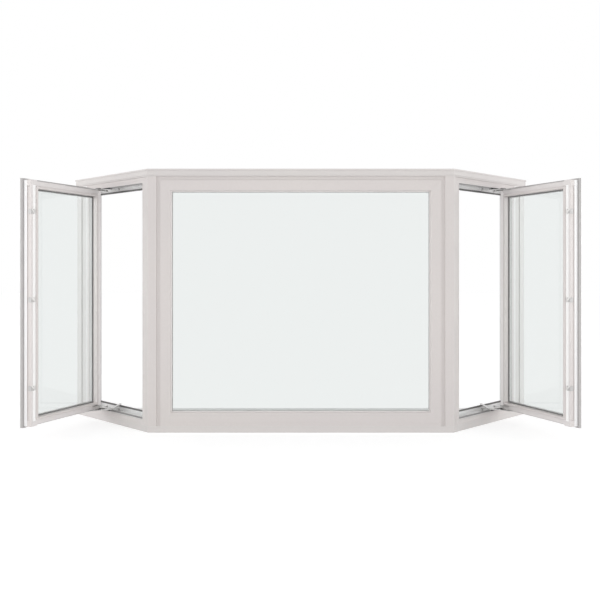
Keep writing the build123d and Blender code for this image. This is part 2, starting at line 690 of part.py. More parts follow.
def centre_nodes():
    front = Pos(0, FRONT_Y, 0)
    return {
        "centre_frame_jambs": placed(centre_frame(("left", "right")), front),
        "centre_frame_head_and_sill": placed(centre_frame(("top", "bottom")), front),
        "centre_strips": placed(centre_strips(), front),
        "centre_bead": placed(centre_bead(), front),
        "centre_glass": placed(centre_glass(), front),
        "centre_spacer": placed(centre_spacer(), front),
    }


def main():
    os.makedirs("parts", exist_ok=True)
    save("seat_board", seat_board())
    save("head_board", head_board())
    save("head_trim", head_trim())
    right_post = placed(wall_post(), RIGHT_SIDE)
    save("corner_posts", [mullion()] + mirrored(mullion()))
    save("wall_posts", right_post + mirrored(right_post))
    for node, shapes in centre_nodes().items():
        save(node, shapes)
    for node, shapes in right_side_nodes().items():
        save(f"right_{node}", shapes)
        save(f"left_{node}", mirrored(shapes))


main()
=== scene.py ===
"""Looks of the white vinyl bay window: materials, small fittings, light and camera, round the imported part.

Metres, in the part's own frame: X to the right seen from outside, Y towards the room, Z up.
"""
from math import cos, pi, radians, sin

import bmesh
import bpy
from mathutils import Matrix, Vector

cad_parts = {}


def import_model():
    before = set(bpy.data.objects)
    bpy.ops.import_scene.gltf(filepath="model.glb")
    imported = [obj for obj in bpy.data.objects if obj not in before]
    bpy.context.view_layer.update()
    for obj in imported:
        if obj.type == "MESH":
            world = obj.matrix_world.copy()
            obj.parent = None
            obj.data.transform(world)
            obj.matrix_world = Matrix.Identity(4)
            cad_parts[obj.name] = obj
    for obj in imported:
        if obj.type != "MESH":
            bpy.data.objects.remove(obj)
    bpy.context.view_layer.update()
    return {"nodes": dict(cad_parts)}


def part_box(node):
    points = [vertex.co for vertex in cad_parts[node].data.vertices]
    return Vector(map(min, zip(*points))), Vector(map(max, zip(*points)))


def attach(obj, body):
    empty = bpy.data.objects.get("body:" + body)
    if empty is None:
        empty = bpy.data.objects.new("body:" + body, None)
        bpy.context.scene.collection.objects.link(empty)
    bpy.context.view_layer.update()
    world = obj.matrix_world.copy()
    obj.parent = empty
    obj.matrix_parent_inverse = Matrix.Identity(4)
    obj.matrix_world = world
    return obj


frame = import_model()
nodes = frame["nodes"]
MM = 0.001

# ---------------------------------------------------------------- sizes of the part itself
BAY_ANGLE = radians(45)
SASH_FLAT = 27 * MM              # flat band round the room face of a sash, outside its bead
SASH_FACE = 38 * MM              # from the edge of a sash to its glass opening
SASH_BEAD_PROUD = 8 * MM         # how far the sash bead stands out of that band
CENTRE_FACE = 50 * MM            # and of the centre frame
FACE_DEPTH = 7 * MM              # exterior faces and the grooves between them are shallower than this
EDGE_ZONE = 4 * MM               # faces of a lock stile within this of its edge belong to the edge, which is painted darker as shade
FLANGE_REACH = 0.5 * MM          # faces farther out than this beyond that edge belong to the flange
KEEPER_CORNER = 5 * MM           # faces of a keeper within this of that edge are its corner, painted darker as shade
JOIN = 0.01 * MM                 # points closer than this are one point
LEVEL_SLACK = 0.05 * MM          # points closer in height than this lie in one end face

# ---------------------------------------------------------------- sizes of what is added here
EDGE_BREAK = 0.7 * MM            # rounding of vinyl edges
METAL_BREAK = 0.25 * MM          # and of metal edges
STRIP_BREAK = 0.25 * MM
PAD_BREAK = 1.0 * MM
PLATE_BREAK = 0.4 * MM
BREAK_SEGMENTS = 2
BREAK_ANGLE = radians(28)        # edges sharper than this are rounded on the part
SMOOTH_ANGLE = radians(35)       # edges flatter than this are shaded smooth on added pieces
SEATED = 0.1 * MM                # how deep a strip or plate sits in what carries it

GASKET_SIGHT = 4.0 * MM          # how far a glazing gasket shows past the bead
GASKET_THICK = 2.5 * MM
GASKET_UNDER = 1 * MM            # how far it reaches under the bead
GASKET_LIP = 0.4                 # share of its sight that is flat
GASKET_TOE = 0.3                 # thickness of its thin side, as a share

STRIP_THICK = 0.6 * MM
STRIP_LAP = 4 * MM               # how far the lock stile's strip reaches past the bead's ends
STRIP_SHORT = 1 * MM             # by how much the edge strip is shorter than the sash at each end
LOCK_STRIP = (10.5 * MM, 26.8 * MM)      # the strip on the flat of the lock stile, in from its edge: partly whiter vinyl, partly painted highlight
EDGE_STRIP = (1 * MM, 19 * MM)           # the strip on that edge, from the seal towards the room: partly whiter vinyl, partly painted light

ROUND_STEPS = 20
DOME = ((1, 0.35), (0.86, 0.75), (0.55, 0.95))      # shares of the radius and height of a head
HEAD_SUNK = 0.2 * MM
CROSS_LONG, CROSS_WIDE = 0.55, 0.11      # half length and half width, as shares of the radius
CROSS_LIFT = 1.02                        # share of the head's height

# radius and height of the heads
KEEPER_SCREW = (2.8 * MM, 1.1 * MM)
TRACK_SCREW = (3.4 * MM, 1.0 * MM)
COVER_SCREW = (2.6 * MM, 1.0 * MM)
LOCK_SCREW = (2.8 * MM, 1.1 * MM)
SNUBBER_SCREW = (3.0 * MM, 1.0 * MM)
RIVET = (5.2 * MM, 1.2 * MM)

KEEPER_SCREW_INSET = 7 * MM
KEEPER_SCREW_REACH = 7.5 * MM            # up and down from the middle of a keeper
KEEPER_FACE = -2.5 * MM                  # depth of the keepers' face
TRACK_SCREW_SHARES = (0.05, 0.3, 0.52, 0.95)        # along a track
TRACK_FLOOR = 1.2 * MM                   # from a track's rim to the face that carries the screws
# from the ends of what carries the screws, and from its outer side
COVER_SCREW_INSET = (12 * MM, 5 * MM)
LOCK_SCREW_INSET = (5.5 * MM, 5 * MM)
ARM_GAP = 0.3 * MM                       # between an arm and what turns on it

LIP_PAD = ((88 * MM, 208 * MM), (3 * MM, 15 * MM))      # from the wall-side jamb, depth in the frame
LIP_PAD_HEIGHT = 8 * MM
HINGE_CAP = ((-1.5 * MM, 12 * MM), (-1 * MM, 24 * MM))  # from the hinge edge and the sash's room face
HINGE_CAP_HEIGHT = 11 * MM
SNUBBER_SIZE = (1.6 * MM, 16 * MM, 54 * MM)
SNUBBER_AT = (28 * MM, 340 * MM)         # its middle: depth in the frame, height over the floor
SNUBBER_SCREW_SHARE = 0.33               # of its height, up and down from its middle

# ---------------------------------------------------------------- camera and light
CAMERA_DISTANCE = 3.557          # in front of the outer face
CAMERA_HEIGHT = 0.758
LENS = 46.2
SHIFT = (-0.0012, -0.0523)
AMBIENT = 0.75                   # strength of the world as light
# place, aim, size and watts; the side lamp has a mirror image
SIDE_LAMP = ((6.0, -1.5, 1.3), (0.9, 0, 0.7), (4.0, 2.4), 98)
TOP_LAMP = ((0, -1.6, 3.8), (0, 0, 0.6), (3.0, 2.0), 3)
LOW_LAMP = ((0, -2.4, 0.06), (0, -0.2, 0.9), (3.6, 1.0), 20)        # lights the undersides
FLOOR_SIZE = 40
FLOOR_GREY = 0.94                # of the floor, for the light that it sends back
FLOOR_SHADE = 0.50               # how strongly shadows show on the floor

# ---------------------------------------------------------------- grain of the materials
NOISE_SPAN = (0.3, 0.7)          # where nearly all of a noise lies
# scale per metre and detail of each noise, and the stretch of drawn lines
DRIFT = (2.3, 2.0)
STREAK = (90.0, 3.0)
CLOUD = (26.0, 4.0)
FINE_DETAIL = 2.0
DRAWN_LINES = (420.0, 3.0, (1, 1, 12))
DULL_PATCHES = (60.0, 4.0)
GLASS_WAVES = (3.5, 1.0)
GLASS_FILM = (9.0, 5.0)
STREAK_SHARE = 0.35
STREAK_SHADE = 0.93              # colour of a streak, as a share of the surface's
DULL_SHADE = 0.72
GRAIN_DEPTH = 0.2 * MM
WAVE_DEPTH = 0.4 * MM
LINE_RELIEF = 0.08               # strengths of the relief
WAVE_RELIEF = 0.04
FILM_ROUGHNESS = 0.012
GLASS_IOR = 1.46
GLASS_MIRROR = 0.25              # how much of real glass's mirror image the panes keep
SEAL_SURFACE = (1800.0, (0.5, 0.7), 0.2)             # grain, range of roughness, relief
SPACER_SURFACE = (1500.0, (0.45, 0.6), 0.1)


# ---------------------------------------------------------------- node trees
class Tree:
    """Short way to write the nodes of a material."""

    def __init__(self, name):
        self.material = bpy.data.materials.new(name)
        self.material.use_nodes = True
        self.tree = self.material.node_tree
        self.tree.nodes.clear()
        self.out = self.tree.nodes.new("ShaderNodeOutputMaterial")

    def node(self, kind, **inputs):
        """Node of a kind, with values or links for its inputs and _ for the spaces in their names."""
        made = self.tree.nodes.new("ShaderNode" + kind)
        for key, value in inputs.items():
            socket = made.inputs[key.replace("_", " ")]
            if isinstance(value, bpy.types.NodeSocket):
                self.tree.links.new(value, socket)
            else:
                socket.default_value = value
        return made

    def link(self, source, target):
        self.tree.links.new(source, target)

    def noise(self, scale, detail=3.0, stretch=(1, 1, 1)):
        """Noise from 0 to 1 in metres of the part's frame."""
        place = self.node("TexCoord")
        mapping = self.node("Mapping", Vector=place.outputs["Object"], Scale=stretch)
        noise = self.node("TexNoise", Vector=mapping.outputs["Vector"], Scale=scale, Detail=detail)
        return noise.outputs["Fac"]

    def between(self, factor, low, high):
        """A number that runs from low to high with a factor."""
        ranged = self.node("MapRange", Value=factor)
        ranged.inputs["From Min"].default_value = NOISE_SPAN[0]
        ranged.inputs["From Max"].default_value = NOISE_SPAN[1]
        ranged.inputs["To Min"].default_value = low
        ranged.inputs["To Max"].default_value = high
        return ranged.outputs["Result"]

    def mix_colour(self, factor, first, second):
        """Blend of two colours by a factor, each given as a value or a socket."""
        mixed = self.tree.nodes.new("ShaderNodeMix")
        mixed.data_type = "RGBA"
        for index, value in ((0, factor), (6, first), (7, second)):
            if isinstance(value, bpy.types.NodeSocket):
                self.link(value, mixed.inputs[index])
            elif index:
                mixed.inputs[index].default_value = (*value, 1)
            else:
                mixed.inputs[index].default_value = value
        return mixed.outputs[2]


def plastic(name, colour, tint, grain=2600.0, rough=(0.32, 0.46), bump=0.05, metallic=0.0):
    """Moulded or extruded surface: slow drift of colour, fine grain in gloss and relief."""
    tree = Tree(name)
    drift = tree.between(tree.noise(*DRIFT), 0.0, 1.0)
    streak = tree.between(tree.noise(*STREAK), 0.0, STREAK_SHARE)
    first = tree.mix_colour(drift, colour, tint)
    second = tree.mix_colour(streak, first, [STREAK_SHADE * c for c in colour])
    fine = tree.noise(grain, FINE_DETAIL)
    relief = tree.node("Bump", Height=fine, Strength=bump, Distance=GRAIN_DEPTH)
    shader = tree.node(
        "BsdfPrincipled",
        Base_Color=second,
        Roughness=tree.between(tree.noise(*CLOUD), *rough),
        Normal=relief.outputs["Normal"],
        Metallic=metallic,
    )
    tree.link(shader.outputs["BSDF"], tree.out.inputs["Surface"])
    return tree.material


def brushed(name, colour, rough=(0.24, 0.42)):
    """Metal with fine drawn lines and patches of dulled gloss."""
    tree = Tree(name)
    lines = tree.noise(*DRAWN_LINES)
    patches = tree.noise(*DULL_PATCHES)
    dulled = tree.mix_colour(tree.between(patches, 0.0, 1.0), colour, [DULL_SHADE * c for c in colour])
    relief = tree.node("Bump", Height=lines, Strength=LINE_RELIEF, Distance=GRAIN_DEPTH)
    shader = tree.node(
        "BsdfPrincipled",
        Base_Color=dulled,
        Roughness=tree.between(patches, *rough),
        Normal=relief.outputs["Normal"],
        Metallic=1.0,
    )
    tree.link(shader.outputs["BSDF"], tree.out.inputs["Surface"])
    return tree.material


def clear_glass(name, colour):
    """Float glass, faintly green, with slow waves and a weak mirror image. Lamps pass through it."""
    tree = Tree(name)
    waves = tree.noise(*GLASS_WAVES)
    relief = tree.node("Bump", Height=waves, Strength=WAVE_RELIEF, Distance=WAVE_DEPTH)
    film = tree.between(tree.noise(*GLASS_FILM), 0.0, FILM_ROUGHNESS)
    glass = tree.node(
        "BsdfPrincipled",
        Base_Color=(*colour, 1),
        Roughness=film,
        IOR=GLASS_IOR,
        Normal=relief.outputs["Normal"],
    )
    glass.inputs["Transmission Weight"].default_value = 1.0
    glass.inputs["Specular Tint"].default_value = (GLASS_MIRROR, GLASS_MIRROR, GLASS_MIRROR, 1)
    clear = tree.node("BsdfTransparent", Color=(*colour, 1))
    light = tree.node("LightPath")
    mixed = tree.node("MixShader", Fac=light.outputs["Is Shadow Ray"])
    tree.link(glass.outputs["BSDF"], mixed.inputs[1])
    tree.link(clear.outputs["BSDF"], mixed.inputs[2])
    tree.link(mixed.outputs["Shader"], tree.out.inputs["Surface"])
    return tree.material


VINYL = plastic("vinyl_pearl", (0.672, 0.632, 0.614), (0.655, 0.614, 0.606))
SASH_VINYL = plastic("vinyl_sash", (0.738, 0.705, 0.695), (0.722, 0.688, 0.685))
# painted light: the sash's own vinyl made whiter on the hinge stile to lift the shade it stands in
HINGE_STILE_PAINTED_LIGHT = plastic("vinyl_hinge_stile_painted_light", (0.90, 0.86, 0.855), (0.88, 0.84, 0.84))
# partly painted light: whiter band on the lock stile's edge, partly whiter vinyl
EDGE_WHITE_AND_PAINTED_LIGHT = plastic("vinyl_edge_white_and_painted_light", (0.86, 0.855, 0.855), (0.84, 0.83, 0.835))
# white vinyl; in the frames' channels and on the sash flange it is partly painted light
WHITE_VINYL_AND_PAINTED_LIGHT = plastic("vinyl_white_and_painted_light", (0.90, 0.895, 0.89), (0.88, 0.87, 0.87))
BOARD = plastic("board_laminate", (0.672, 0.642, 0.625), (0.655, 0.622, 0.615), 900.0, (0.42, 0.58), 0.12)
# rubber of the hinge pads and caps, partly painted shade of the gap at the hinge corners
RUBBER_AND_PAINTED_SHADE = plastic("rubber_and_painted_shade", (0.028, 0.027, 0.027), (0.040, 0.038, 0.038), 1800.0, (0.55, 0.75), 0.2)
WALL_VINYL = plastic("vinyl_wall_post", (0.80, 0.785, 0.775), (0.78, 0.76, 0.755))
# partly painted highlight: near-white strip on the flat of the lock stile, partly whiter vinyl
WHITE_AND_HIGHLIGHT_STRIP = plastic("strip_white_and_painted_highlight", (0.97, 0.965, 0.96), (0.95, 0.945, 0.94),
                       2600.0, (0.25, 0.35), 0.03)
GREY_SEAL = plastic("seal_grey", (0.43, 0.42, 0.415), (0.47, 0.45, 0.45), *SEAL_SURFACE)
LIP_SEAL = plastic("seal_lip", (0.31, 0.30, 0.30), (0.35, 0.34, 0.34), *SEAL_SURFACE)
PALE_SEAL = plastic("seal_pale", (0.85, 0.815, 0.805), (0.87, 0.83, 0.82), *SEAL_SURFACE)
SASH_GASKET = plastic("seal_sash_gasket", (0.185, 0.18, 0.18), (0.215, 0.21, 0.21), *SEAL_SURFACE)
DARK_SEAL = plastic("seal_dark", (0.135, 0.13, 0.13), (0.165, 0.16, 0.16), *SEAL_SURFACE)
GREY_SPACER = plastic("spacer_grey", (0.72, 0.71, 0.705), (0.76, 0.745, 0.74), *SPACER_SURFACE)
PALE_SPACER = plastic("spacer_pale", (0.97, 0.94, 0.93), (0.98, 0.95, 0.94), *SPACER_SURFACE)
STEEL = brushed("steel_stainless", (0.66, 0.65, 0.64))
BRIGHT_STEEL = brushed("steel_bright", (0.88, 0.875, 0.87), (0.34, 0.5))
HARDWARE = plastic("hardware_enamel", (0.60, 0.585, 0.57), (0.57, 0.555, 0.545), 1400.0, (0.3, 0.42), 0.06)
KEEPER = plastic("keeper_zinc", (0.85, 0.84, 0.83), (0.77, 0.76, 0.75), 900.0, (0.3, 0.45), 0.08, 0.15)
# painted shade: darker zinc for the keepers' faces round the corner, where they catch the side light
KEEPER_PAINTED_SHADE = plastic("keeper_zinc_painted_shade", (0.53, 0.52, 0.515), (0.48, 0.47, 0.465),
                      900.0, (0.4, 0.55), 0.08, 0.15)
GLASS = clear_glass("float_glass", (0.919, 0.933, 0.929))

FINISHES = {
    "glass": GLASS,
    "frame_seals": DARK_SEAL,
    "sash_seal": GREY_SEAL,
    "sash_stiles": SASH_VINYL,
    "sash_rails": SASH_VINYL,
    "sash_spacer": GREY_SPACER,
    "centre_spacer": PALE_SPACER,
    "sash_keepers": KEEPER,
    "sash_hinge_bars": STEEL,
    "hinge_tracks": BRIGHT_STEEL,
    "hinge_arms": STEEL,
    "operator_arms": STEEL,
    "operator_cover": HARDWARE,
    "crank_handle": HARDWARE,
    "lock_handle": HARDWARE,
    "wall_posts": WALL_VINYL,
    "board": BOARD,
    "trim": BOARD,
}
METAL = (STEEL, BRIGHT_STEEL, KEEPER)


def paint(obj, material):
    """Give every face of an object one material."""
    obj.data.materials.clear()
    obj.data.materials.append(material)
    for face in obj.data.polygons:
        face.material_index = 0


def break_edges(obj, width):
    """Join the split corners of a solid's mesh and round its edges a little."""
    weld = obj.modifiers.new("weld", "WELD")
    weld.merge_threshold = JOIN
    bevel = obj.modifiers.new("edges", "BEVEL")
    bevel.width = width
    bevel.segments = BREAK_SEGMENTS
    bevel.limit_method = "ANGLE"
    bevel.angle_limit = BREAK_ANGLE
    bevel.harden_normals = True


def dress_cad_nodes():
    """Vinyl, or the first finish that names a part of the node's name, and rounded edges on all but glass."""
    for name, obj in nodes.items():
        found = [m for part, m in FINISHES.items() if part in name]
        material = found[0] if found else VINYL
        paint(obj, material)
        if material is not GLASS:
            break_edges(obj, METAL_BREAK if material in METAL else EDGE_BREAK)


# ---------------------------------------------------------------- places, read from the part
def plan_points(name):
    return [Vector((v.co.x, v.co.y)) for v in nodes[name].data.vertices]


def turned(origin, along):
    """Matrix of a frame standing upright at origin with x along a plan direction."""
    x = Vector((along.x, along.y, 0)).normalized()
    y = Vector((-x.y, x.x, 0))
    place = Matrix((x, y, Vector((0, 0, 1)))).transposed().to_4x4()
    place.translation = Vector((origin.x, origin.y, 0))
    return place


def side_place():
    """The right angled side: x from the bay corner to the wall, y inwards."""
    low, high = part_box("seat_board")
    depth = high.y - low.y
    corner = Vector((high.x - depth / (sin(BAY_ANGLE) / cos(BAY_ANGLE)), low.y))
    return turned(corner, Vector((cos(BAY_ANGLE), sin(BAY_ANGLE))))


def span(name, place):
    """Lowest and highest corner of a node, in a frame."""
    inverse = place.inverted()
    points = [inverse @ v.co for v in nodes[name].data.vertices]
    low = Vector([min(p[i] for p in points) for i in range(3)])
    high = Vector([max(p[i] for p in points) for i in range(3)])
    return low, high


def paint_where(name, place, material, chosen):
    """Give a second material to the faces whose middle, in a frame, is chosen."""
    mesh = nodes[name].data
    mesh.materials.append(material)
    inverse = place.inverted()
    for face in mesh.polygons:
        if chosen(inverse @ face.center):
            face.material_index = len(mesh.materials) - 1


def solid_points(name, place):
    """The points of each solid of a node, in a frame."""
    inverse = place.inverted()
    made = bmesh.new()
    made.from_mesh(nodes[name].data)
    bmesh.ops.remove_doubles(made, verts=made.verts, dist=JOIN)
    groups, seen = [], set()
    for start in made.verts:
        if start in seen:
            continue
        group, waiting = [], [start]
        seen.add(start)
        while waiting:
            vert = waiting.pop()
            group.append(inverse @ vert.co)
            for edge in vert.link_edges:
                other = edge.other_vert(vert)
                if other not in seen:
                    seen.add(other)
                    waiting.append(other)
        groups.append(group)
    made.free()
    return groups


def solid_spans(name, place):
    """Lowest and highest corner of each solid of a node."""
    spans = []
    for group in solid_points(name, place):
        low = Vector([min(p[i] for p in group) for i in range(3)])
        high = Vector([max(p[i] for p in group) for i in range(3)])
        spans.append((low, high))
    return spans


def pin_end(points, top):
    """Middle of the end face of a pin that stands out of an arm, above or below."""
    level = max(p.z for p in points) if top else min(p.z for p in points)
    end = [p for p in points if abs(p.z - level) < LEVEL_SLACK]
    return Vector((sum(p.x for p in end) / len(end), sum(p.y for p in end) / len(end), level))


def sash_place():
    """The right sash: x from its hinge edge to its lock edge, y from its room face outwards."""
    glass = plan_points("right_sash_glass")
    nearest, leftmost = min(glass, key=lambda p: p.y), min(glass, key=lambda p: p.x)
    place = turned(Vector((0, 0)), nearest - leftmost)
    low, _ = span("right_sash_bead", place)
    corner = place @ Vector((low.x - SASH_FLAT, low.y + SASH_BEAD_PROUD, 0))
    return turned(corner, nearest - leftmost)


SIDE = side_place()
LEFT_SIDE = Matrix.Diagonal((-1, 1, 1, 1)) @ SIDE
SASH = sash_place()
LEFT_SASH = Matrix.Diagonal((-1, 1, 1, 1)) @ SASH
SASH_LOW, SASH_HIGH = span("right_sash_bead", SASH)
SASH_WIDTH = SASH_HIGH.x + SASH_FLAT
SASH_BOTTOM, SASH_TOP = SASH_LOW.z - SASH_FLAT, SASH_HIGH.z + SASH_FLAT
GLASS_LOW, GLASS_HIGH = span("right_sash_glass", SASH)
OPENING_LOW, OPENING_HIGH = span("right_frame_seals", SIDE)
CENTRE_LOW, CENTRE_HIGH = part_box("centre_frame_jambs")
CENTRE_GLASS_LOW, CENTRE_GLASS_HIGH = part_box("centre_glass")


# ---------------------------------------------------------------- white and grey parts of a node, some of them painted light and shade
def nodes_top(name):
    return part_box(name)[1].z


def side_frame_finishes():
    """White channels, partly whiter vinyl and partly painted light that lifts the shade in them, white
    wall-side jambs and seat board top, and a paler seal on the outer lip.
    """
    middle = (OPENING_LOW + OPENING_HIGH) / 2
    for side, place in (("right", SIDE), ("left", LEFT_SIDE)):
        # painted light: faces deep in the channels, partly whiter vinyl, partly white to lift the shade in
        # them
        paint_where(f"{side}_frame_head_and_sill", place, WHITE_VINYL_AND_PAINTED_LIGHT, lambda p: p.y > FACE_DEPTH)
        paint_where(f"{side}_frame_jambs", place, WHITE_VINYL_AND_PAINTED_LIGHT,
                    lambda p: p.y > FACE_DEPTH or p.x > middle.x)
        paint_where(f"{side}_frame_seals", place, LIP_SEAL, lambda p: p.y < middle.y)
    paint_where("seat_board", SIDE, WHITE_VINYL_AND_PAINTED_LIGHT, lambda p: p.z > nodes_top("seat_board") - MM)


def sash_finishes():
    """Painted light and shade on the sashes: a whiter hinge stile that lifts its shade, a white flange that
    is partly whiter vinyl and partly painted light, lock stile edge faces darker as painted shade, and
    keepers darker round the corner as painted shade.
    """
    for side, place in (("right", SASH), ("left", LEFT_SASH)):
        stiles = f"{side}_sash_stiles"
        # painted light: the hinge stile whiter than the rest of the sash
        paint_where(stiles, place, HINGE_STILE_PAINTED_LIGHT, lambda p: p.x < SASH_WIDTH / 2)
        # painted shade: the lock stile's edge faces get the darker frame vinyl, holding down the side lamps'
        # light on them
        paint_where(stiles, place, VINYL, lambda p: p.x > SASH_WIDTH - EDGE_ZONE and p.y > MM)
        # partly painted light: the flange made white, partly whiter vinyl, partly the light its edge catches
        paint_where(stiles, place, WHITE_VINYL_AND_PAINTED_LIGHT, lambda p: p.x > SASH_WIDTH + FLANGE_REACH)
        # painted shade: keepers darker round the corner
        paint_where(f"{side}_sash_keepers", place, KEEPER_PAINTED_SHADE,
                    lambda p: p.x > SASH_WIDTH - KEEPER_CORNER)


# ---------------------------------------------------------------- making small shapes
def add_box(made, low, high):
    """Box between two corners."""
    size = [high[i] - low[i] for i in range(3)]
    middle = [(high[i] + low[i]) / 2 for i in range(3)]
    place = Matrix.Translation(middle) @ Matrix.Diagonal((*size, 1))
    bmesh.ops.create_cube(made, size=1, matrix=place)


def add_ring(made, x, z, profile):
    """Mitred ring in an upright rectangle. Its profile is a list of (inwards, depth)."""
    loops = []
    for inward, depth in profile:
        corners = (
            (x[0] + inward, z[0] + inward),
            (x[1] - inward, z[0] + inward),
            (x[1] - inward, z[1] - inward),
            (x[0] + inward, z[1] - inward),
        )
        loops.append([made.verts.new((cx, depth, cz)) for cx, cz in corners])
    count = len(loops)
    for i in range(count):
        for j in range(4):
            here, there = loops[i], loops[(i + 1) % count]
            following = (j + 1) % 4
            made.faces.new((here[j], here[following], there[following], there[j]))


def add_turned(made, profile, place):
    """Round shape about z from (radius, height) points, the first and last on the axis."""
    rings = []
    for radius, height in profile[1:-1]:
        angles = [2 * pi * k / ROUND_STEPS for k in range(ROUND_STEPS)]
        rings.append([made.verts.new(place @ Vector((radius * cos(a), radius * sin(a), height)))
                      for a in angles])
    ends = [made.verts.new(place @ Vector((0, 0, profile[i][1]))) for i in (0, -1)]
    for k in range(ROUND_STEPS):
        following = (k + 1) % ROUND_STEPS
        made.faces.new((ends[0], rings[0][following], rings[0][k]))
        for lower, upper in zip(rings, rings[1:]):
            made.faces.new((lower[k], lower[following], upper[following], upper[k]))
        made.faces.new((rings[-1][k], rings[-1][following], ends[1]))


def dome(radius, height):
    """Profile of a low round head, sunk a little into its seat."""
    rise = [(across * radius, up * height) for across, up in DOME]
    return [(0, -HEAD_SUNK), (radius, -HEAD_SUNK), *rise, (0, height)]


def add_screw(made, place, radius, height):
    """Pan head with a flat cross laid over it."""
    add_turned(made, dome(radius, height), place)
    arm, half = CROSS_LONG * radius, CROSS_WIDE * radius
    for first, second in ((arm, half), (half, arm)):
        lift = CROSS_LIFT * height
        corners = [Vector((x, y, lift)) for x, y in
                   ((-first, -second), (first, -second), (first, second), (-first, second))]
        made.faces.new([made.verts.new(place @ c) for c in corners])


def piece(name, build, place, material, width=0.0):
    """Make one mesh from build(made) in a frame, then its mirror image for the left side."""
    for side, flip in (("right", 1), ("left", -1)):
        made = bmesh.new()
        build(made)
        bmesh.ops.transform(made, matrix=Matrix.Diagonal((flip, 1, 1, 1)) @ place, verts=made.verts)
        finish_piece(f"{side}_{name}", made, material, width)


def centre_piece(name, build, material):
    """Make one mesh from build(made) that has no mirror image."""
    made = bmesh.new()
    build(made)
    finish_piece(f"centre_{name}", made, material)


def finish_piece(name, made, material, width=0.0):
    """Turn a built mesh into a named piece of the part, with its edges rounded by width."""
    bmesh.ops.recalc_face_normals(made, faces=made.faces)
    mesh = bpy.data.meshes.new(name)
    made.to_mesh(mesh)
    made.free()
    obj = bpy.data.objects.new(name, mesh)
    bpy.context.scene.collection.objects.link(obj)
    paint(obj, material)
    mesh.shade_smooth()
    mesh.set_sharp_from_angle(angle=SMOOTH_ANGLE)
    if width:
        bevel = obj.modifiers.new("edges", "BEVEL")
        bevel.width = width
        bevel.segments = BREAK_SEGMENTS
        bevel.limit_method = "ANGLE"
    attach(obj, "root")


# ---------------------------------------------------------------- gaskets and strips
def gasket(face, outward, sight):
    """Profile of a wedge gasket that lies on a pane at depth face and shows past sight."""
    lip = face - outward * GASKET_THICK
    under = sight - GASKET_UNDER
    return [(under, face), (under, lip), (sight + GASKET_LIP * GASKET_SIGHT, lip),
            (sight + GASKET_SIGHT, face - outward * GASKET_TOE * GASKET_THICK),
            (sight + GASKET_SIGHT, face)]


def glazing_gaskets():
    """Gaskets on both faces of each glass unit."""
    x, z = (0, SASH_WIDTH), (SASH_BOTTOM, SASH_TOP)
    piece("sash_gasket_room_side", lambda m: add_ring(m, x, z, gasket(GLASS_LOW.y, 1, SASH_FACE)),
          SASH, SASH_GASKET)
    piece("sash_gasket_outside", lambda m: add_ring(m, x, z, gasket(GLASS_HIGH.y, -1, SASH_FACE)),
          SASH, GREY_SEAL)
    x, z = (CENTRE_LOW.x, CENTRE_HIGH.x), (CENTRE_LOW.z, CENTRE_HIGH.z)
    front, back = CENTRE_GLASS_LOW.y, CENTRE_GLASS_HIGH.y
    centre_piece("gasket_outside", lambda m: add_ring(m, x, z, gasket(front, 1, CENTRE_FACE)),
                 PALE_SEAL)
    centre_piece("gasket_room_side", lambda m: add_ring(m, x, z, gasket(back, -1, CENTRE_FACE)),
                 PALE_SEAL)


def lock_stile_strips():
    """Strips on the flat of the lock stile and on its edge, beside the hardware groove: partly whiter vinyl,
    partly painted highlight where these faces catch the light.
    """
    z = (SASH_BOTTOM + SASH_FLAT - STRIP_LAP, SASH_TOP - SASH_FLAT + STRIP_LAP)

    def room_face(made):
        x = (SASH_WIDTH - LOCK_STRIP[1], SASH_WIDTH - LOCK_STRIP[0])
        add_box(made, (x[0], -STRIP_THICK, z[0]), (x[1], SEATED, z[1]))

    def edge(made):
        seal_room_side = span("right_sash_seal", SASH)[0].y
        y = (seal_room_side - EDGE_STRIP[1], seal_room_side - EDGE_STRIP[0])
        add_box(made, (SASH_WIDTH - SEATED, y[0], SASH_BOTTOM + STRIP_SHORT),
                (SASH_WIDTH + STRIP_THICK, y[1], SASH_TOP - STRIP_SHORT))

    # partly painted highlight on the flat and the edge of the lock stile, partly whiter vinyl
    piece("sash_lock_highlight_strip", room_face, SASH, WHITE_AND_HIGHLIGHT_STRIP, STRIP_BREAK)
    piece("sash_edge_highlight_strip", edge, SASH, EDGE_WHITE_AND_PAINTED_LIGHT, STRIP_BREAK)


# ---------------------------------------------------------------- screws and rivet heads
UPWARDS = Matrix.Identity(4)
DOWNWARDS = Matrix.Rotation(pi, 4, "X")
TOWARDS_ROOM_OF_SASH = Matrix.Rotation(pi / 2, 4, "X")      # z of the screw along -y
TOWARDS_ROOM_OF_SIDE = Matrix.Rotation(-pi / 2, 4, "X")     # z of the screw along +y
TOWARDS_CORNER = Matrix.Rotation(-pi / 2, 4, "Y")           # z of the screw along -x


def at(x, y, z, turn=UPWARDS):
    return Matrix.Translation((x, y, z)) @ turn


def keeper_screws(made):
    for low, high in solid_spans("right_sash_keepers", SASH):
        middle = (low.z + high.z) / 2
        for way in (-1, 1):
            place = at(low.x + KEEPER_SCREW_INSET, KEEPER_FACE, middle + way * KEEPER_SCREW_REACH,
                       TOWARDS_ROOM_OF_SASH)
            add_screw(made, place, *KEEPER_SCREW)


def track_screws(made):
    for low, high in solid_spans("right_hinge_tracks", SIDE):
        upper = low.z > (OPENING_LOW.z + OPENING_HIGH.z) / 2
        turn = DOWNWARDS if upper else UPWARDS
        seat = low.z + TRACK_FLOOR if upper else high.z - TRACK_FLOOR
        for share in TRACK_SCREW_SHARES:
            x = low.x + share * (high.x - low.x)
            add_screw(made, at(x, (low.y + high.y) / 2, seat, turn), *TRACK_SCREW)


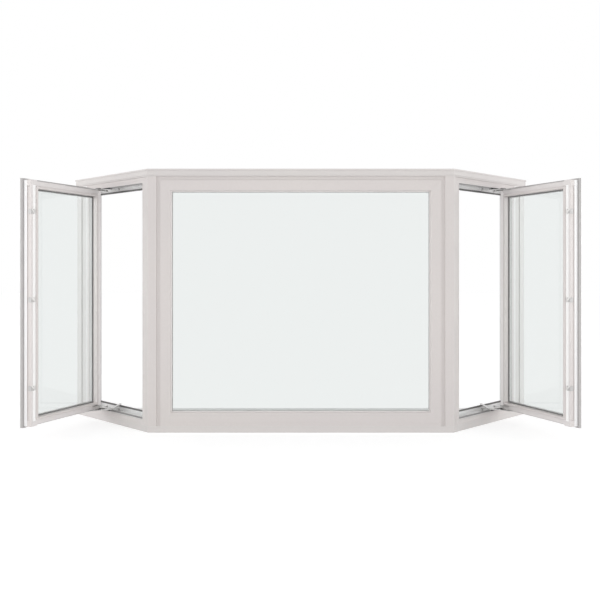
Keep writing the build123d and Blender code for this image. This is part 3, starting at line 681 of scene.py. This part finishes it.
def cover_screws(made):
    low, high = span("right_operator_cover", SIDE)
    from_end, from_outside = COVER_SCREW_INSET
    for x in (low.x + from_end, high.x - from_end):
        add_screw(made, at(x, low.y + from_outside, high.z), *COVER_SCREW)


def lock_screws(made):
    low, high = span("right_lock_handle", SIDE)
    from_end, from_outside = LOCK_SCREW_INSET
    for z in (low.z + from_end, high.z - from_end):
        place = at((low.x + high.x) / 2, low.y + from_outside, z, TOWARDS_ROOM_OF_SIDE)
        add_screw(made, place, *LOCK_SCREW)


def rivet_heads(made):
    """Heads over the pins of the hinge arms in their tracks, and over those of the operator."""
    middle = (OPENING_LOW.z + OPENING_HIGH.z) / 2
    for points in solid_points("right_hinge_arms", SIDE):
        upper = points[0].z > middle
        foot, head = pin_end(points, upper), pin_end(points, not upper)
        seat = head.z + ARM_GAP if upper else head.z - ARM_GAP
        place = at(foot.x, foot.y, seat, DOWNWARDS if upper else UPWARDS)
        add_turned(made, dome(*RIVET), place)
    arms = solid_points("right_operator_arms", SIDE)
    main_arm, link = sorted(arms, key=lambda group: min(p.z for p in group))
    pivot, elbow, pin = pin_end(main_arm, False), pin_end(main_arm, True), pin_end(link, True)
    for place, level in ((pivot, elbow.z - ARM_GAP), (elbow, pin.z - ARM_GAP)):
        add_turned(made, dome(*RIVET), at(place.x, place.y, level))


def lip_pads_and_shade(made):
    """Black rubber pads on the lip of the channel, over and under the hinges, partly painted shade of the gap
    at the hinge corner.
    """
    along, (front, back) = LIP_PAD
    x = (OPENING_HIGH.x - along[1], OPENING_HIGH.x - along[0])
    add_box(made, (x[0], front, OPENING_LOW.z), (x[1], back, OPENING_LOW.z + LIP_PAD_HEIGHT))
    add_box(made, (x[0], front, OPENING_HIGH.z - LIP_PAD_HEIGHT), (x[1], back, OPENING_HIGH.z))


def hinge_caps_and_shade(made):
    """Black end caps of the hinge bars, at the hinge edge of the sash, partly painted shade of the gap over
    and under the sash.
    """
    (start, end), (front, back) = HINGE_CAP
    bars = solid_spans("right_sash_hinge_bars", SASH)
    lower, upper = min(bars, key=lambda b: b[0].z), max(bars, key=lambda b: b[1].z)
    add_box(made, (start, front, lower[0].z - HINGE_CAP_HEIGHT), (end, back, lower[0].z))
    add_box(made, (start, front, upper[1].z), (end, back, upper[1].z + HINGE_CAP_HEIGHT))


def snubber_plate(made):
    """Plate on the channel face of the wall-side jamb."""
    half_wide, half_high = SNUBBER_SIZE[1] / 2, SNUBBER_SIZE[2] / 2
    y, z = SNUBBER_AT
    add_box(made, (OPENING_HIGH.x - SNUBBER_SIZE[0], y - half_wide, z - half_high),
            (OPENING_HIGH.x + SEATED, y + half_wide, z + half_high))


def snubber_screws(made):
    face, depth = OPENING_HIGH.x - SNUBBER_SIZE[0], SNUBBER_AT[0]
    for way in (-1, 1):
        z = SNUBBER_AT[1] + way * SNUBBER_SCREW_SHARE * SNUBBER_SIZE[2]
        add_screw(made, at(face, depth, z, TOWARDS_CORNER), *SNUBBER_SCREW)


def small_fittings():
    piece("keeper_screws", keeper_screws, SASH, STEEL)
    piece("hinge_track_screws", track_screws, SIDE, BRIGHT_STEEL)
    piece("operator_cover_screws", cover_screws, SIDE, STEEL)
    piece("lock_screws", lock_screws, SIDE, STEEL)
    piece("hinge_rivets", rivet_heads, SIDE, STEEL)
    # partly painted shade: black pads and caps in the gap at the hinge corners
    piece("frame_hinge_pads_and_shade", lip_pads_and_shade, SIDE, RUBBER_AND_PAINTED_SHADE, PAD_BREAK)
    piece("hinge_bar_caps_and_shade", hinge_caps_and_shade, SASH, RUBBER_AND_PAINTED_SHADE, PAD_BREAK)
    piece("snubber_plate", snubber_plate, SIDE, STEEL, PLATE_BREAK)
    piece("snubber_screws", snubber_screws, SIDE, STEEL)


# ---------------------------------------------------------------- floor, light and camera
def shown_to_sight(tree):
    """1 for what the camera sees directly, in gloss or through glass."""
    light = tree.nodes.new("ShaderNodeLightPath")
    total = None
    for name in ("Is Camera Ray", "Is Glossy Ray", "Is Transmission Ray"):
        if total is None:
            total = light.outputs[name]
            continue
        larger = tree.nodes.new("ShaderNodeMath")
        larger.operation = "MAXIMUM"
        tree.links.new(total, larger.inputs[0])
        tree.links.new(light.outputs[name], larger.inputs[1])
        total = larger.outputs[0]
    return total


def floor():
    """Pale for the light it sends back, shaded white for the camera, plain white in gloss and glass."""
    bpy.ops.mesh.primitive_plane_add(size=FLOOR_SIZE, location=(0, 0, 0))
    obj = bpy.context.object
    obj.name = "floor"
    tree = Tree("floor_pale")
    pale = tree.node("BsdfDiffuse", Color=(FLOOR_GREY, FLOOR_GREY, FLOOR_GREY, 1))
    shade = tree.node("BsdfDiffuse", Color=(FLOOR_SHADE, FLOOR_SHADE, FLOOR_SHADE, 1))
    glow = tree.node("Emission", Color=(1, 1, 1, 1), Strength=1 - FLOOR_SHADE * AMBIENT)
    both = tree.node("AddShader")
    tree.link(shade.outputs[0], both.inputs[0])
    tree.link(glow.outputs[0], both.inputs[1])
    white = tree.node("Emission", Color=(1, 1, 1, 1), Strength=1.0)
    seen = tree.node("MixShader", Fac=tree.node("LightPath").outputs["Is Camera Ray"])
    tree.link(white.outputs[0], seen.inputs[1])
    tree.link(both.outputs[0], seen.inputs[2])
    mixed = tree.node("MixShader", Fac=shown_to_sight(tree.tree))
    tree.link(pale.outputs[0], mixed.inputs[1])
    tree.link(seen.outputs[0], mixed.inputs[2])
    tree.link(mixed.outputs[0], tree.out.inputs["Surface"])
    obj.data.materials.append(tree.material)


def world():
    """Even light round the part, and plain white wherever the world itself is seen."""
    made = bpy.data.worlds.new("studio")
    bpy.context.scene.world = made
    made.use_nodes = True
    tree = made.node_tree
    tree.nodes.clear()
    out = tree.nodes.new("ShaderNodeOutputWorld")
    mixed = tree.nodes.new("ShaderNodeMixShader")
    tree.links.new(shown_to_sight(tree), mixed.inputs["Fac"])
    for index, strength in ((1, AMBIENT), (2, 1.0)):
        background = tree.nodes.new("ShaderNodeBackground")
        background.inputs["Color"].default_value = (1, 1, 1, 1)
        background.inputs["Strength"].default_value = strength
        tree.links.new(background.outputs[0], mixed.inputs[index])
    tree.links.new(mixed.outputs[0], out.inputs["Surface"])


def lamp(name, place, target, size, power):
    """Rectangular lamp that is hidden from the camera and behind glass."""
    data = bpy.data.lights.new(name, "AREA")
    data.shape = "RECTANGLE"
    data.size, data.size_y = size
    data.energy = power
    obj = bpy.data.objects.new(name, data)
    bpy.context.scene.collection.objects.link(obj)
    obj.visible_camera = False
    obj.visible_transmission = False
    obj.location = place
    obj.rotation_euler = (Vector(target) - Vector(place)).to_track_quat("-Z", "Y").to_euler()
    return obj


def light():
    """World, a lamp on each side, a weak one above and one near the floor."""
    world()
    place, aim, size, power = SIDE_LAMP
    for side in (-1, 1):
        lamp("side", (side * place[0], *place[1:]), (side * aim[0], *aim[1:]), size, power)
    lamp("top", *TOP_LAMP)
    lamp("low", *LOW_LAMP).visible_glossy = False


def camera():
    """Level camera in front of the middle, shifted instead of tilted."""
    data = bpy.data.cameras.new("camera")
    data.lens = LENS
    data.shift_x, data.shift_y = SHIFT
    obj = bpy.data.objects.new("camera", data)
    bpy.context.scene.collection.objects.link(obj)
    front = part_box("seat_board")[0].y
    obj.location = (0, front - CAMERA_DISTANCE, CAMERA_HEIGHT)
    obj.rotation_euler = (pi / 2, 0, 0)
    bpy.context.scene.camera = obj


dress_cad_nodes()
side_frame_finishes()
sash_finishes()
glazing_gaskets()
lock_stile_strips()
small_fittings()
floor()
light()
camera()
bpy.context.scene.view_settings.view_transform = "Standard"
